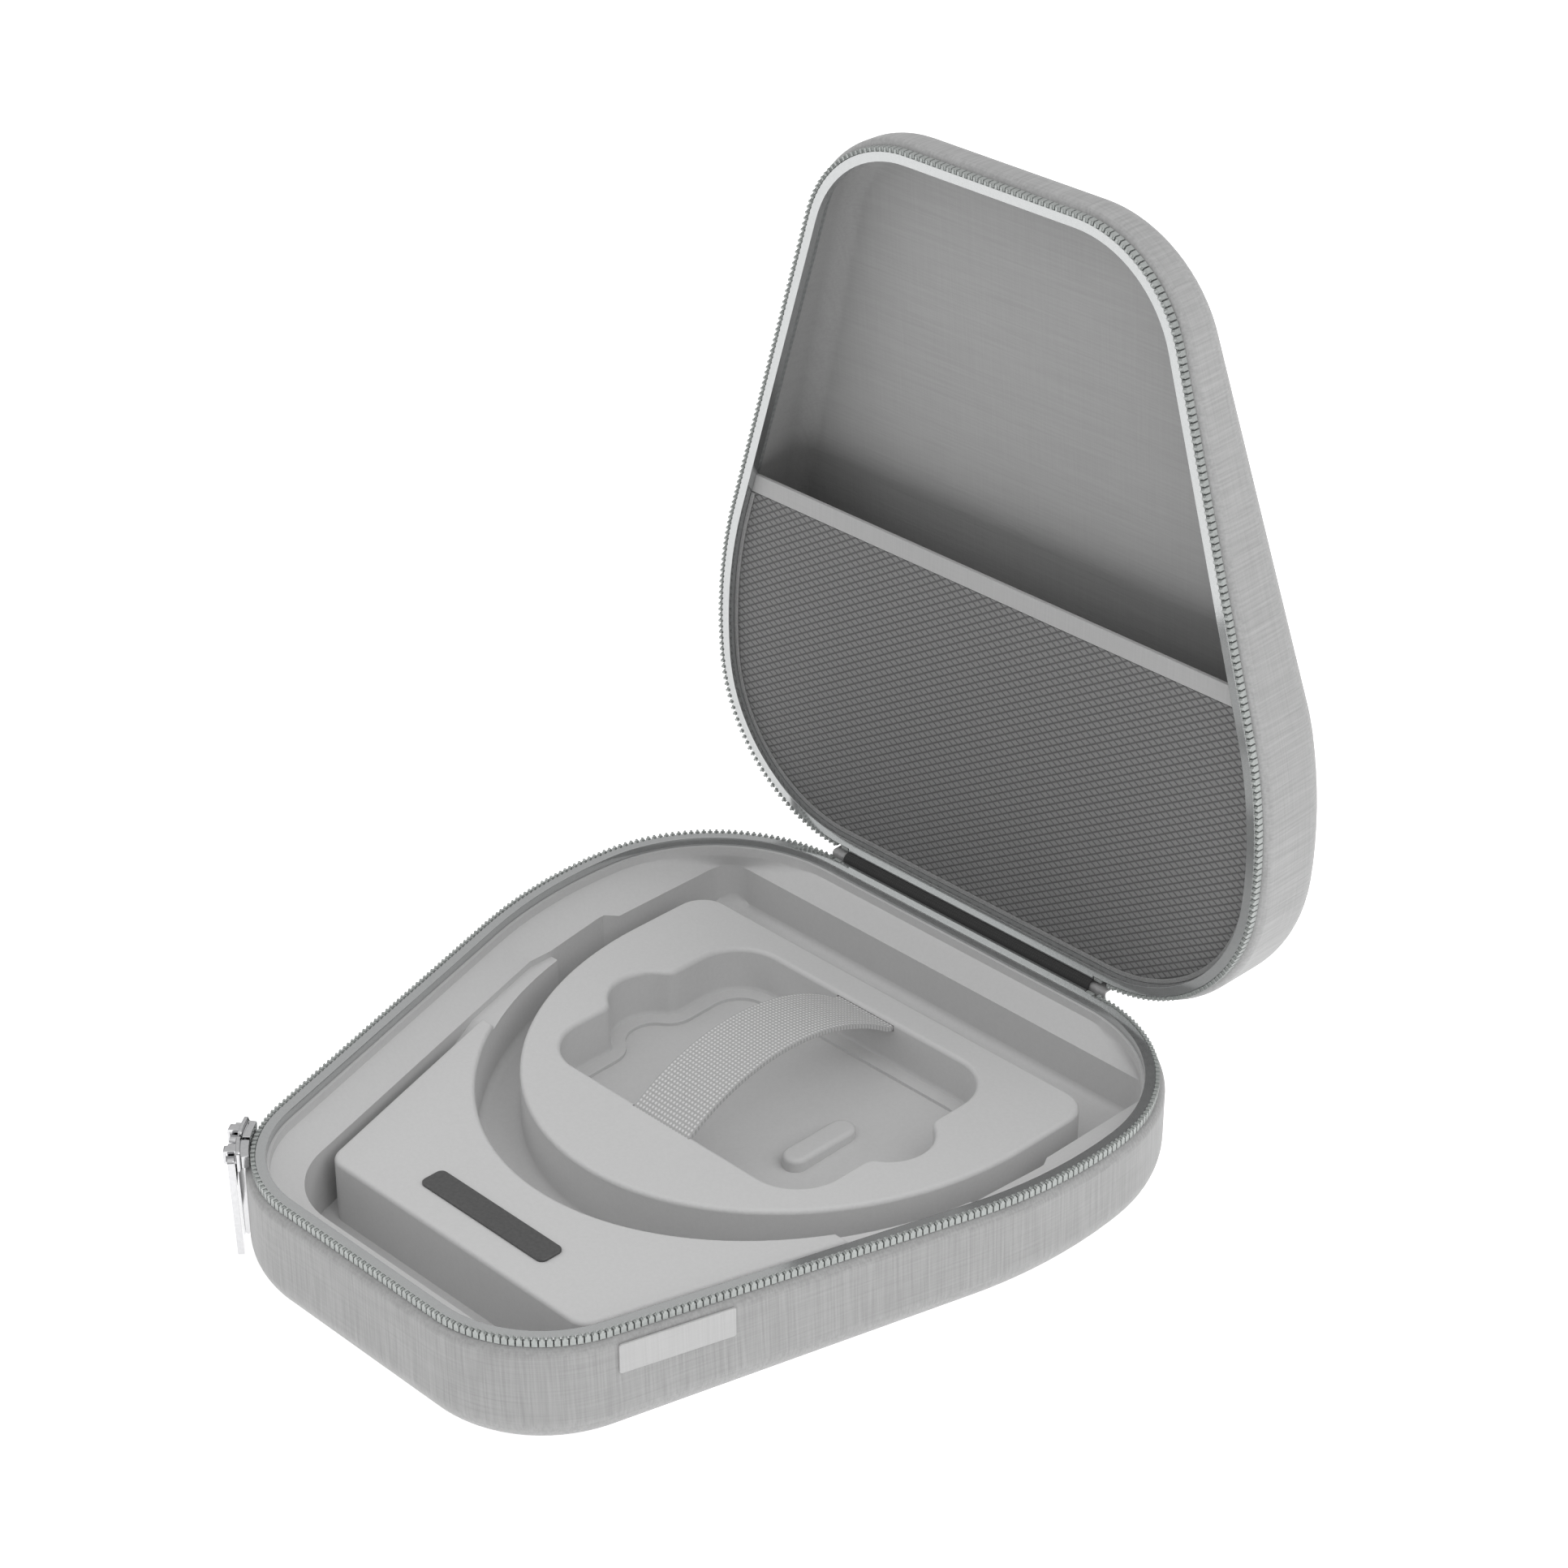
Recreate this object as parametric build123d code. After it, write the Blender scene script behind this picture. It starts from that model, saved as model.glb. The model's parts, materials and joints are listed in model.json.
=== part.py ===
from build123d import *
import math
import os

# Headphone carrying case: a zipped clamshell with a moulded tray, standing open at a right angle.
#
# The case is designed in the frame of its zip: the two halves meet in the plane z = 0, the hinge axis
# is the X axis, and +Y points from the front to the hinge. The underside of the base slopes a little
# against that plane, so the finished parts are turned until the underside is level, with the origin
# in the middle of it. Millimetres and degrees.

# Zip line: the closed loop that the outer face of the teeth follows, symmetric about x = 0
zip_length = 246.0            # from the front straight to the hinge straight
front_half_width = 33.0       # half of the front straight
front_corner_radius = 42.0
widest_half_width = 112.6
widest_to_hinge = 64.0        # from the hinge straight to the widest place
side_radius = 150.0
back_corner_radius = 55.8
hinge_setback = 2.2           # from the hinge axis to the hinge straight

# Depth of the two halves, from the zip plane to the outside
base_front_depth = 38.6
base_hinge_depth = 31.5
base_edge_radius = 12.0
lid_front_depth = 17.8
lid_hinge_depth = 31.5
lid_level_length = 101.0      # from the hinge straight to where the lid starts to slope
lid_knee_radius = 90.0        # bend between the level and the sloping part of the lid
lid_edge_radius = 10.0

# Layers of the wall, from the outside
wall_overhang = 1.8           # outer face of the textile, outside the zip line
cover_thickness = 0.8
core_thickness = 2.2
lining_thickness = 0.6
shoulder_radius = 3.0         # rounding of the textile below the teeth
glue_gap = 0.02               # between bonded layers
cut_margin = 1.0              # how far a cutting solid reaches past what it cuts
same_place = 0.01             # nearer than this, two places count as one

# Zip
tooth_pitch = 2.09
tooth_width = 1.62            # of the tooth's body
tooth_head_width = 0.8        # of the part that reaches between two opposite teeth
tooth_reach = 0.35            # of the head, beyond the zip plane
tooth_body_gap = 0.42         # from the zip plane to the body
tooth_foot = 2.4              # from the zip plane to the foot of the tooth
tooth_step = 0.15             # slant between the body and the head
tape_thickness = 0.6
tape_height = 5.2             # below the foot of the teeth
stop_length = 3.0
stop_gap = 0.3                # from the hinge fabric and from the teeth

# Rim frame: the smooth band inside the teeth
band_drop = 0.15              # from the zip plane to the band
band_width = 3.15
band_thickness = 1.0
rim_height = 3.0

# Hinge
hinge_tape_half_width = 52.8
hinge_lip_inset = 0.1         # rim's edge inside the zip line, between the ends of the chain
hinge_tape_depth = 0.9
spine_height = 12.6
spine_gap = 0.2               # between the ends of the spine and the cover

# Tray
tray_thickness = 1.4
tray_edge_inset = 5.2         # inner face of the tray's edge, inside the zip line
tray_edge_bottom = 6.2        # below the zip plane
plateau_depth = 11.5          # top faces of the two islands, below the zip plane
floor_gap = 0.05              # from the wells of the tray to the lining under them
flange_width_back = 13.0      # zip line to the channel, at the hinge
flange_width_side = 19.9      # the same, at the widest place
flange_width_front = 14.8     # zip line to the moat, at the sides and the front
channel_corner_radius = 9.0
channel_width_back = 19.6
channel_width_side = 8.2
channel_width_front = 16.8
channel_centre_to_hinge = 63.0
channel_reach = 115.3         # from the channel's centre to its front
island_corner_radius = 10.0
moat_width_side = 3.6
moat_width_front = 19.2
moat_ramp_start = 133.0       # from the hinge straight
moat_ramp_end = 196.0
moat_shallow = 2.2            # depth of the moat at the tip of the front island
front_island_radius = 6.5
tip_to_hinge = 131.8          # ends of the front island's horns
pocket_half_width = 56.2
pocket_to_hinge = 43.6
pocket_length = 85.6
pocket_radius = 16.0
lobe_radius = 14.0
lobe_setback = 5.2            # of the lobe's centre, from the straight side of the pocket
lobe_neck_radius = 4.5
lobe_to_hinge = 86.2
plateau_round = 1.5
well_round = 2.6
pocket_step_width = 5.0
pocket_step_height = 1.1
step_overlap = 0.2            # of the step into the floor under it
notch_to_hinge = 62.3         # start of the shallow notch in the flange, on each side
notch_length = 29.4
notch_depth = 2.8
notch_run = 4.6
bump_length = 28.0
bump_width = 8.5
bump_height = 4.0
bump_round = 1.6
bump_x = 26.0
bump_to_hinge = 90.0

# Strap over the pocket
strap_width = 24.0
strap_thickness = 1.6
strap_rise = 14.3             # of its middle, above the tails
strap_radius = 73.0
strap_bend = 6.0
strap_tail_front = 10.0       # beyond the pocket
strap_tail_back = 6.2
strap_to_hinge = 88.6         # middle of the arch
slot_clearance = 0.3
anchor_width = 18.0
anchor_length = 5.2
anchor_thickness = 1.2

# Badge and label
badge_width = 53.6
badge_depth = 8.8
badge_radius = 2.2
badge_thickness = 0.9
badge_chamfer = 0.25
badge_to_front = 49.0
label_width = 35.6
label_height = 9.8
label_thickness = 0.7
label_radius = 0.8
label_start = 0.6             # from the end of the front corner, along the side
label_top = 4.2

# Mesh pocket in the lid
mesh_thickness = 0.8
mesh_gap = 0.4                # from its edge to the lining
pocket_mouth_to_hinge = 112.6
band_height = 6.6
band_thickness_lid = 1.4
binding_width = 1.5
binding_thickness = 0.45

# Sliders and pulls, on the front left corner of the base
rear_slider_angle = 218.0     # round the corner's centre, from the +X direction
pull_spacing = 0.85           # between two hanging pulls
slider_gap = 0.35             # from the teeth
slider_length = 8.4
slider_height = 4.2
slider_depth = 2.45
plate_length = 9.0
plate_height = 7.2
plate_depth = 1.2
plate_radius = 1.0
bar_radius = 1.0
bar_to_plate = 0.5
bar_gap = 0.4
bridge_width = 3.0
bridge_thickness = 0.9
bridge_round = 0.8
pull_width = 9.6
pull_length = 36.6
pull_thickness = 2.0
pull_end_chamfer = 3.0
pull_radius = 1.2
window_width = 5.6
window_height = 8.0
window_taper = 0.7            # on each side, towards the bar

# Places that follow from the driving dimensions
hinge_y = -hinge_setback
front_y = hinge_y - zip_length
front_centre = (front_half_width, front_y + front_corner_radius)
side_centre = (widest_half_width - side_radius, hinge_y - widest_to_hinge)
back_angle = math.degrees(math.asin((hinge_y - side_centre[1] - back_corner_radius)
                                    / (side_radius - back_corner_radius)))
centre_run = (side_centre[0] - front_centre[0], side_centre[1] - front_centre[1])
side_slant = -(math.degrees(math.atan2(centre_run[1], centre_run[0]))
               - math.degrees(math.acos((front_corner_radius - side_radius) / math.hypot(*centre_run))))
back_centre = (side_centre[0] + (side_radius - back_corner_radius) * math.cos(math.radians(back_angle)),
               hinge_y - back_corner_radius)
base_tilt = math.degrees(math.atan((base_front_depth - base_hinge_depth) / zip_length))
wall_thickness = cover_thickness + core_thickness + lining_thickness
inner_offset = wall_overhang - wall_thickness
core_offset = wall_overhang - cover_thickness
tape_offset = core_offset - core_thickness
cover_top = -tooth_foot - glue_gap
rim_outer = tape_offset - 2 * glue_gap
rim_inner = rim_outer - band_width
rim_bottom = -(band_drop + rim_height)
tray_floor_lift = wall_thickness + floor_gap + tray_thickness
chain_end_x = hinge_tape_half_width + 2 * stop_gap + stop_length
deep = base_front_depth + lid_hinge_depth     # deeper than any part of either half
wide = 4 * widest_half_width
bar_offset = slider_gap + slider_depth + plate_depth + bar_radius + bar_to_plate
slider_distance = max(pull_width, plate_length) + pull_spacing
slider_step = math.degrees(slider_distance / (front_corner_radius + bar_offset))
slider_angles = (rear_slider_angle, rear_slider_angle + slider_step)


def polar(centre, radius, angle):
    """Point at that angle on a circle."""
    turn = math.radians(angle)
    return (centre[0] + radius * math.cos(turn), centre[1] + radius * math.sin(turn))


def arc(centre, radius, start, end):
    return ThreePointArc(polar(centre, radius, start), polar(centre, radius, (start + end) / 2),
                         polar(centre, radius, end))


def closed_face(right_side):
    """Face between a chain of edges on the right, from front to hinge, and its mirror image."""
    first = right_side[0] @ 0
    last = right_side[-1] @ 1
    left_side = [mirror(edge, Plane.YZ) for edge in right_side]
    front = Line((-first.X, first.Y), (first.X, first.Y))
    back = Line((-last.X, last.Y), (last.X, last.Y))
    return make_face(Curve() + [front, back] + list(right_side) + left_side)


def zip_outline(offset):
    """Area inside the zip line moved outwards by offset."""
    corner = arc(front_centre, front_corner_radius + offset, -90, -side_slant)
    side = arc(side_centre, side_radius + offset, -side_slant, back_angle)
    back = arc(back_centre, back_corner_radius + offset, back_angle, 90)
    return closed_face([corner, Line(corner @ 1, side @ 0), side, back])


def prism(face, bottom, top):
    return extrude(Pos(Z=bottom) * face, top - bottom)


def ring(outward, inward, bottom, top):
    """Ring between two offsets of the zip line."""
    opening = prism(zip_outline(inward), bottom - cut_margin, top + cut_margin)
    return prism(zip_outline(outward), bottom, top) - opening


def bottom_plane(y, lift=0.0):
    """Height of the base's underside at y, raised square to itself by lift."""
    slope = math.tan(math.radians(base_tilt))
    return -base_hinge_depth - (hinge_y - y) * slope + lift / math.cos(math.radians(base_tilt))


def side_profile(points):
    """Prism across the whole width with that outline in the YZ plane."""
    return extrude(make_face(Polyline([(0, y, z) for y, z in points], close=True)), wide / 2, both=True)


def base_profile(lift):
    """Everything above the base's underside raised by lift."""
    ends = (front_y - wide, hinge_y + wide)
    return side_profile([(ends[0], bottom_plane(ends[0], lift)), (ends[1], bottom_plane(ends[1], lift)),
                         (ends[1], deep), (ends[0], deep)])


def lid_profile(lift):
    """The same for the lid, which is level at the hinge and slopes to the front."""
    knee_y = hinge_y - lid_level_length
    slope = math.atan2(lid_hinge_depth - lid_front_depth, knee_y - front_y)
    tangent = lid_knee_radius * math.tan(slope / 2)
    radius = lid_knee_radius - lift
    centre = (knee_y + tangent, -lid_hinge_depth + lid_knee_radius)
    level_end = (centre[0], centre[1] - radius)
    slope_end = (centre[0] - radius * math.sin(slope), centre[1] - radius * math.cos(slope))
    middle = (centre[0] - radius * math.sin(slope / 2), centre[1] - radius * math.cos(slope / 2))
    far = zip_length
    front_end = (slope_end[0] - far * math.cos(slope), slope_end[1] + far * math.sin(slope))
    outline = [Line((0, far, level_end[1]), (0, *level_end)),
               ThreePointArc((0, *level_end), (0, *middle), (0, *slope_end)),
               Line((0, *slope_end), (0, *front_end)),
               Line((0, *front_end), (0, front_end[0], deep)),
               Line((0, front_end[0], deep), (0, far, deep)),
               Line((0, far, deep), (0, far, level_end[1]))]
    return extrude(make_face(Curve() + outline), wide / 2, both=True)


def half_solid(profile, offset, lift, edge_radius, top, top_radius=0.0):
    """Solid body of one half: the outline moved by offset, down to the profile, with rounded edges."""
    blank = prism(zip_outline(offset), -2 * deep, top) & profile(lift)
    low_edges = blank.faces().filter_by(lambda face: face.normal_at().Z < -same_place).edges()
    side_edges = blank.faces().filter_by(lambda face: abs(face.normal_at().Z) < same_place).edges()
    rounded = [e for e in low_edges if any(e.is_same(s) for s in side_edges)]
    body = fillet(ShapeList(rounded), edge_radius)
    if top_radius > 0:
        body = fillet(body.faces().sort_by(Axis.Z)[-1].edges(), top_radius)
    return body


def half_layers(profile, edge_radius):
    """Textile cover, moulded core and lining of one half."""
    outside = half_solid(profile, wall_overhang, 0, edge_radius, cover_top, shoulder_radius)
    core_skin = half_solid(profile, core_offset, cover_thickness, edge_radius - cover_thickness,
                           cover_top - cover_thickness, shoulder_radius - cover_thickness)
    core_space = half_solid(profile, core_offset - glue_gap, cover_thickness + glue_gap,
                            edge_radius - cover_thickness, cover_top - cover_thickness - glue_gap,
                            shoulder_radius - cover_thickness)
    hollow = half_solid(profile, tape_offset, cover_thickness + core_thickness,
                        edge_radius - cover_thickness - core_thickness, cut_margin)
    lining_skin = half_solid(profile, tape_offset - glue_gap, cover_thickness + core_thickness + glue_gap,
                             edge_radius - cover_thickness - core_thickness, cut_margin)
    inside = half_solid(profile, inner_offset, wall_thickness, edge_radius - wall_thickness, cut_margin)
    mouth = prism(zip_outline(tape_offset), cover_top - cover_thickness - cut_margin, cut_margin)
    cover = outside - core_skin - mouth
    width = 2 * (hinge_tape_half_width + spine_gap)
    recess = Pos(0, hinge_y + core_offset, cover_top - spine_height) * Box(
        width, wide, 2 * spine_height, align=(Align.CENTER, Align.MIN, Align.MIN))
    cover = cover - recess
    core = core_space - hollow
    above_lining = prism(zip_outline(0), cover_top - tape_height - glue_gap, 2 * cut_margin)
    lining = lining_skin - inside - above_lining
    return cover, core, lining


def rim_frame():
    """Smooth band inside the teeth, with its inner facet."""
    lip = ring(rim_outer, rim_inner, -band_drop - band_thickness, -band_drop)
    block = ring(rim_outer - tape_thickness - 2 * glue_gap, rim_inner, rim_bottom, -band_drop)
    depth = -rim_outer - hinge_lip_inset
    hinge_lip = Pos(0, hinge_y - hinge_lip_inset, -band_drop) * Box(
        2 * hinge_tape_half_width, depth, band_thickness, align=(Align.CENTER, Align.MAX, Align.MAX))
    return lip + block + hinge_lip


def zip_tape():
    """Fabric strip that carries the teeth, bonded inside the core's upper edge."""
    top = -band_drop - band_thickness - glue_gap
    outward = tape_offset - glue_gap
    return ring(outward, outward - tape_thickness, cover_top - tape_height, top)


def tooth():
    """One tooth standing on the plane y = 0 with its outer face towards +Y."""
    body = tooth_width / 2
    head = tooth_head_width / 2
    right = [(body, -tooth_foot), (body, -tooth_body_gap), (head, -tooth_body_gap + tooth_step),
             (head, tooth_reach - tooth_step), (head - tooth_step, tooth_reach)]
    left = [(-x, z) for x, z in reversed(right)]
    face = make_face(Polyline([(x, 0, z) for x, z in right + left], close=True))
    return extrude(face, -tape_offset, dir=(0, -1, 0))


def chain_edges():
    """Zip line from the middle of the front to the stop beside the hinge, on the right."""
    corner = arc(front_centre, front_corner_radius, -90, -side_slant)
    side = arc(side_centre, side_radius, -side_slant, back_angle)
    back = arc(back_centre, back_corner_radius, back_angle, 90)
    front = Line((0, front_y), (front_centre[0], front_y))
    edges = [front, corner, Line(corner @ 1, side @ 0), side, back]
    if chain_end_x < back_centre[0]:
        edges.append(Line(back @ 1, (chain_end_x, hinge_y)))
    return edges


def zip_teeth(shift):
    """Teeth of one half, one pitch apart; shift is a share of the pitch."""
    edges = chain_edges()
    total = sum(edge.length for edge in edges)
    distance = shift * tooth_pitch
    teeth = []
    while distance < total - tooth_width / 2:
        along = distance
        number = 0
        while along > edges[number].length:
            along -= edges[number].length
            number += 1
        spot = edges[number] @ (along / edges[number].length)
        heading = edges[number] % (along / edges[number].length)
        if spot.Y > back_centre[1] and spot.X < chain_end_x + tooth_width / 2:
            break
        angle = math.degrees(math.atan2(heading.Y, heading.X)) + 180
        right = Pos(spot.X, spot.Y, 0) * tooth().rotate(Axis.Z, angle)
        teeth.append(right)
        if distance > 0:
            teeth.append(mirror(right, Plane.YZ))
        distance += tooth_pitch
    return Compound(children=teeth)


def zip_stops():
    """Blocks that close the chain on both sides of the hinge fabric."""
    start = hinge_tape_half_width + stop_gap
    height = tooth_foot - band_drop
    right = Pos(start, hinge_y, cover_top) * Box(stop_length, -tape_offset, height,
                                                 align=(Align.MIN, Align.MAX, Align.MIN))
    return Compound(children=[right, mirror(right, Plane.YZ)])


def hinge_tape():
    """Half of the dark fabric between the two rims."""
    inner_y = hinge_y - hinge_lip_inset + glue_gap
    height = -band_drop - cover_top - glue_gap
    return Pos(0, inner_y, cover_top + glue_gap) * Box(2 * hinge_tape_half_width, hinge_tape_depth, height,
                                                       align=(Align.CENTER, Align.MIN, Align.MIN))


def hinge_spine():
    """Half of the fabric strip over the outside of the hinge, flush with the cover."""
    strip = prism(zip_outline(wall_overhang), cover_top - spine_height, cover_top)
    strip = fillet(strip.faces().sort_by(Axis.Z)[-1].edges(), shoulder_radius)
    front = Pos(0, hinge_y + core_offset + glue_gap, 0) * Box(wide, wide, 2 * deep,
                                                             align=(Align.CENTER, Align.MAX, Align.CENTER))
    window = Box(2 * hinge_tape_half_width, wide, 2 * deep)
    return (strip - front) & window


def front_bow(centre_y, half_width, reach):
    """Quarter of an ellipse from the front to the right-hand side."""
    plane = Plane((0, centre_y, 0), x_dir=(0, -1, 0), z_dir=(0, 0, 1))
    return Edge.make_ellipse(reach, half_width, plane, 0, 90)


def channel_outline(grow):
    """Outer edge of the channel round the rear island."""
    side_x = widest_half_width - flange_width_side + grow
    back_y = hinge_y - flange_width_back + grow
    radius = channel_corner_radius + grow
    bow_y = hinge_y - channel_centre_to_hinge
    bow = front_bow(bow_y, side_x, channel_reach + grow)
    centre = (side_x - radius, back_y - radius)
    return mirrored_face([bow, Line((side_x, bow_y), (side_x, centre[1])), arc(centre, radius, 0, 90),
                          Line((centre[0], back_y), (0, back_y))])


def mirrored_face(right_side):
    """Face between a chain of edges on the right that starts and ends on x = 0, and its mirror image."""
    return make_face(Curve() + list(right_side) + [mirror(edge, Plane.YZ) for edge in right_side])


def rear_island_outline(grow):
    side_x = widest_half_width - flange_width_side - channel_width_side + grow
    back_y = hinge_y - channel_width_back - flange_width_back + grow
    radius = island_corner_radius + grow
    bow_y = hinge_y - channel_centre_to_hinge
    bow = front_bow(bow_y, side_x, channel_reach - channel_width_front + grow)
    centre = (side_x - radius, back_y - radius)
    return mirrored_face([bow, Line((side_x, bow_y), (side_x, centre[1])), arc(centre, radius, 0, 90),
                          Line((centre[0], back_y), (0, back_y))])


def side_run_point(inset, x=None):
    """Start of the straight side moved inwards, or the place where it reaches x."""
    start = polar(front_centre, front_corner_radius - inset, -side_slant)
    if x is None:
        return start
    return (x, start[1] + (x - start[0]) / math.tan(math.radians(side_slant)))


def ledge_outline(grow):
    """Line where the flange ends and the wells and islands begin."""
    inset = flange_width_front - grow
    side_x = widest_half_width - flange_width_side + grow
    back_y = hinge_y - flange_width_back + grow
    radius = channel_corner_radius + grow
    corner = arc(front_centre, front_corner_radius - inset, -90, -side_slant)
    bend = side_run_point(inset, side_x)
    centre = (side_x - radius, back_y - radius)
    side = Line(bend, (side_x, centre[1]))
    return closed_face([corner, Line(corner @ 1, bend), side, arc(centre, radius, 0, 90)])


def front_island_outline(grow):
    """The front island without the bow of the channel behind it."""
    inset = flange_width_front + moat_width_side - grow
    front = front_y + flange_width_front + moat_width_front - grow
    tip = hinge_y - tip_to_hinge + grow
    start = side_run_point(inset)
    slant = math.tan(math.radians(side_slant))
    low = (start[0] + (front - start[1]) * slant, front)
    high = (start[0] + (tip - start[1]) * slant, tip)
    block = mirrored_face([Line((0, front), low), Line(low, high), Line(high, (0, high[1]))])
    corners = block.vertices().filter_by(lambda v: abs(v.Y - front) < same_place)
    return fillet(corners, front_island_radius + grow)


def pocket_outline(grow):
    """Rounded rectangle with a lobe on each side."""
    middle_y = hinge_y - pocket_to_hinge - pocket_length / 2
    body = Pos(0, middle_y) * RectangleRounded(2 * (pocket_half_width + grow), pocket_length + 2 * grow,
                                               pocket_radius + grow)
    lobe_y = hinge_y - lobe_to_hinge
    lobe = Pos(pocket_half_width - lobe_setback, lobe_y) * Circle(lobe_radius + grow)
    outline = body + lobe + mirror(lobe, Plane.YZ)
    reach = lobe_radius + grow
    edge_x = pocket_half_width + grow
    on_edge = outline.vertices().filter_by(lambda v: abs(abs(v.X) - edge_x) < same_place)
    necks = on_edge.filter_by(lambda v: abs(v.Y - lobe_y) < reach)
    return fillet(necks, lobe_neck_radius - grow)


def tray_space(grow):
    """Inside of the base that the wells may fill, clear of the lining."""
    offset = inner_offset - floor_gap - tray_thickness + grow
    radius = base_edge_radius - wall_thickness - floor_gap - tray_thickness + grow
    return half_solid(base_profile, offset, tray_floor_lift - grow, radius, cut_margin)


def well(outline, grow):
    """Solid that a well takes away; grow adds the thickness of its wall."""
    return prism(outline, -2 * deep, well_top(grow)) & base_profile(tray_floor_lift - grow)


def well_top(grow):
    """A well is open at the top, and its walls end inside the plateau."""
    return -plateau_depth + cut_margin if grow == 0 else -plateau_depth - grow / 2


def rounded_well(outline, grow, round_):
    """Solid that a well takes away, with a rounded bottom edge."""
    blank = well(outline, grow)
    return fillet(blank.faces().sort_by(Axis.Z)[0].edges(), round_)


def notch_outline(grow):
    """Shallow notch in the flange beside the channel, on both sides."""
    side_x = widest_half_width - flange_width_side + grow
    start = hinge_y - notch_to_hinge + grow
    end = start - notch_length - 2 * grow
    inner = side_x - channel_width_side / 2
    corners = [(inner, start), (side_x, start), (side_x + notch_depth, start - notch_run),
               (side_x, end), (inner, end)]
    right = make_face(Polyline(corners, close=True))
    return right + mirror(right, Plane.YZ)


def channel_area(grow):
    ledge_end = hinge_y - notch_to_hinge - notch_length
    rear = Pos(0, ledge_end - grow) * Rectangle(wide, wide, align=(Align.CENTER, Align.MIN))
    outer = channel_outline(grow) + (ledge_outline(grow) & rear) + notch_outline(grow)
    return outer - rear_island_outline(-grow)


def channel_well(grow):
    return rounded_well(channel_area(grow), grow, well_round + grow) & tray_space(grow)


def pocket_well(grow):
    return rounded_well(pocket_outline(grow), grow, well_round + grow)


def moat_well(grow):
    """Groove round the front island, shallow at the tips and deep at the front."""
    shallow = -plateau_depth - moat_shallow - grow
    lift = tray_floor_lift - grow
    ramp = (hinge_y - moat_ramp_start, hinge_y - moat_ramp_end)
    far = front_y - wide
    above = side_profile([(wide, shallow), (ramp[0], shallow), (ramp[1], bottom_plane(ramp[1], lift)),
                          (far, bottom_plane(far, lift)), (far, deep), (wide, deep)])
    outline = ledge_outline(grow) - front_island_outline(-grow) - rear_island_outline(-grow)
    return prism(outline, -2 * deep, well_top(grow)) & above


def bowl(grow, top):
    """Space above the plateau, or the outside of the tray's edge and flange."""
    edge = zip_outline(-tray_edge_inset + grow)
    ledge = Pos(Z=-plateau_depth - grow) * ledge_outline(grow)
    return prism(edge, -tray_edge_bottom, top) + loft([ledge, Pos(Z=-tray_edge_bottom) * edge], ruled=True)


def pocket_bumps():
    """Two long cushions on the floor of the pocket, one for each side."""
    middle_y = hinge_y - bump_to_hinge
    low = bottom_plane(middle_y, tray_floor_lift - tray_thickness / 2)
    shape = Pos(bump_x, middle_y) * SlotOverall(bump_length, bump_width, rotation=90)
    right = prism(shape, low, low + tray_thickness / 2 + bump_height)
    right = fillet(right.faces().sort_by(Axis.Z)[-1].edges(), bump_round)
    return right + mirror(right, Plane.YZ)


def pocket_step():
    """Raised border along the foot of the pocket's wall."""
    outline = pocket_outline(0) - pocket_outline(-pocket_step_width)
    low = base_profile(tray_floor_lift - step_overlap)
    high = base_profile(tray_floor_lift + pocket_step_height)
    return (prism(outline, -2 * deep, -plateau_depth) & low) - high


def strap_path(side_y, half, sense):
    """Points of the strap's face on one side of its middle: sense is +1 for the upper face."""
    tail_z = -plateau_depth - tray_thickness - glue_gap - strap_thickness / 2
    main_z = tail_z + strap_rise - strap_radius
    bend_z = tail_z + strap_bend
    reach = math.sqrt((strap_radius + strap_bend) ** 2 - (bend_z - main_z) ** 2)
    turn = math.atan2(bend_z - main_z, reach)
    main_radius = strap_radius + sense * half
    bend_radius = strap_bend - sense * half
    middle = hinge_y - strap_to_hinge
    top = (0, middle, main_z + main_radius)
    meet = (0, middle + side_y * main_radius * math.cos(turn), main_z + main_radius * math.sin(turn))
    mid_turn = (turn + math.pi / 2) / 2
    on_main = (0, middle + side_y * main_radius * math.cos(mid_turn),
               main_z + main_radius * math.sin(mid_turn))
    bend_y = middle + side_y * reach
    low_turn = (turn + math.pi / 2) / 2 + math.pi
    on_bend = (0, bend_y + side_y * bend_radius * math.cos(low_turn),
               bend_z + bend_radius * math.sin(low_turn))
    foot = (0, bend_y, bend_z - bend_radius)
    tail_end = strap_tail_back if side_y > 0 else strap_tail_front
    pocket_end = hinge_y - pocket_to_hinge - (0 if side_y > 0 else pocket_length)
    end = (0, pocket_end + side_y * tail_end, foot[2])
    return top, on_main, meet, on_bend, foot, end


def strap_solid(extra):
    """Elastic strap; extra is the clearance added all round for the slots in the tray."""
    half = strap_thickness / 2 + extra
    edges = []
    ends = []
    for side_y in (1, -1):
        for sense in (1, -1):
            top, on_main, meet, on_bend, foot, end = strap_path(side_y, half, sense)
            edges += [ThreePointArc(top, on_main, meet), ThreePointArc(meet, on_bend, foot)]
            edges.append(Line(foot, end))
            ends.append(end)
    edges += [Line(ends[0], ends[1]), Line(ends[2], ends[3])]
    return extrude(make_face(Curve() + edges), strap_width / 2 + extra, dir=(1, 0, 0), both=True)


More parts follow.
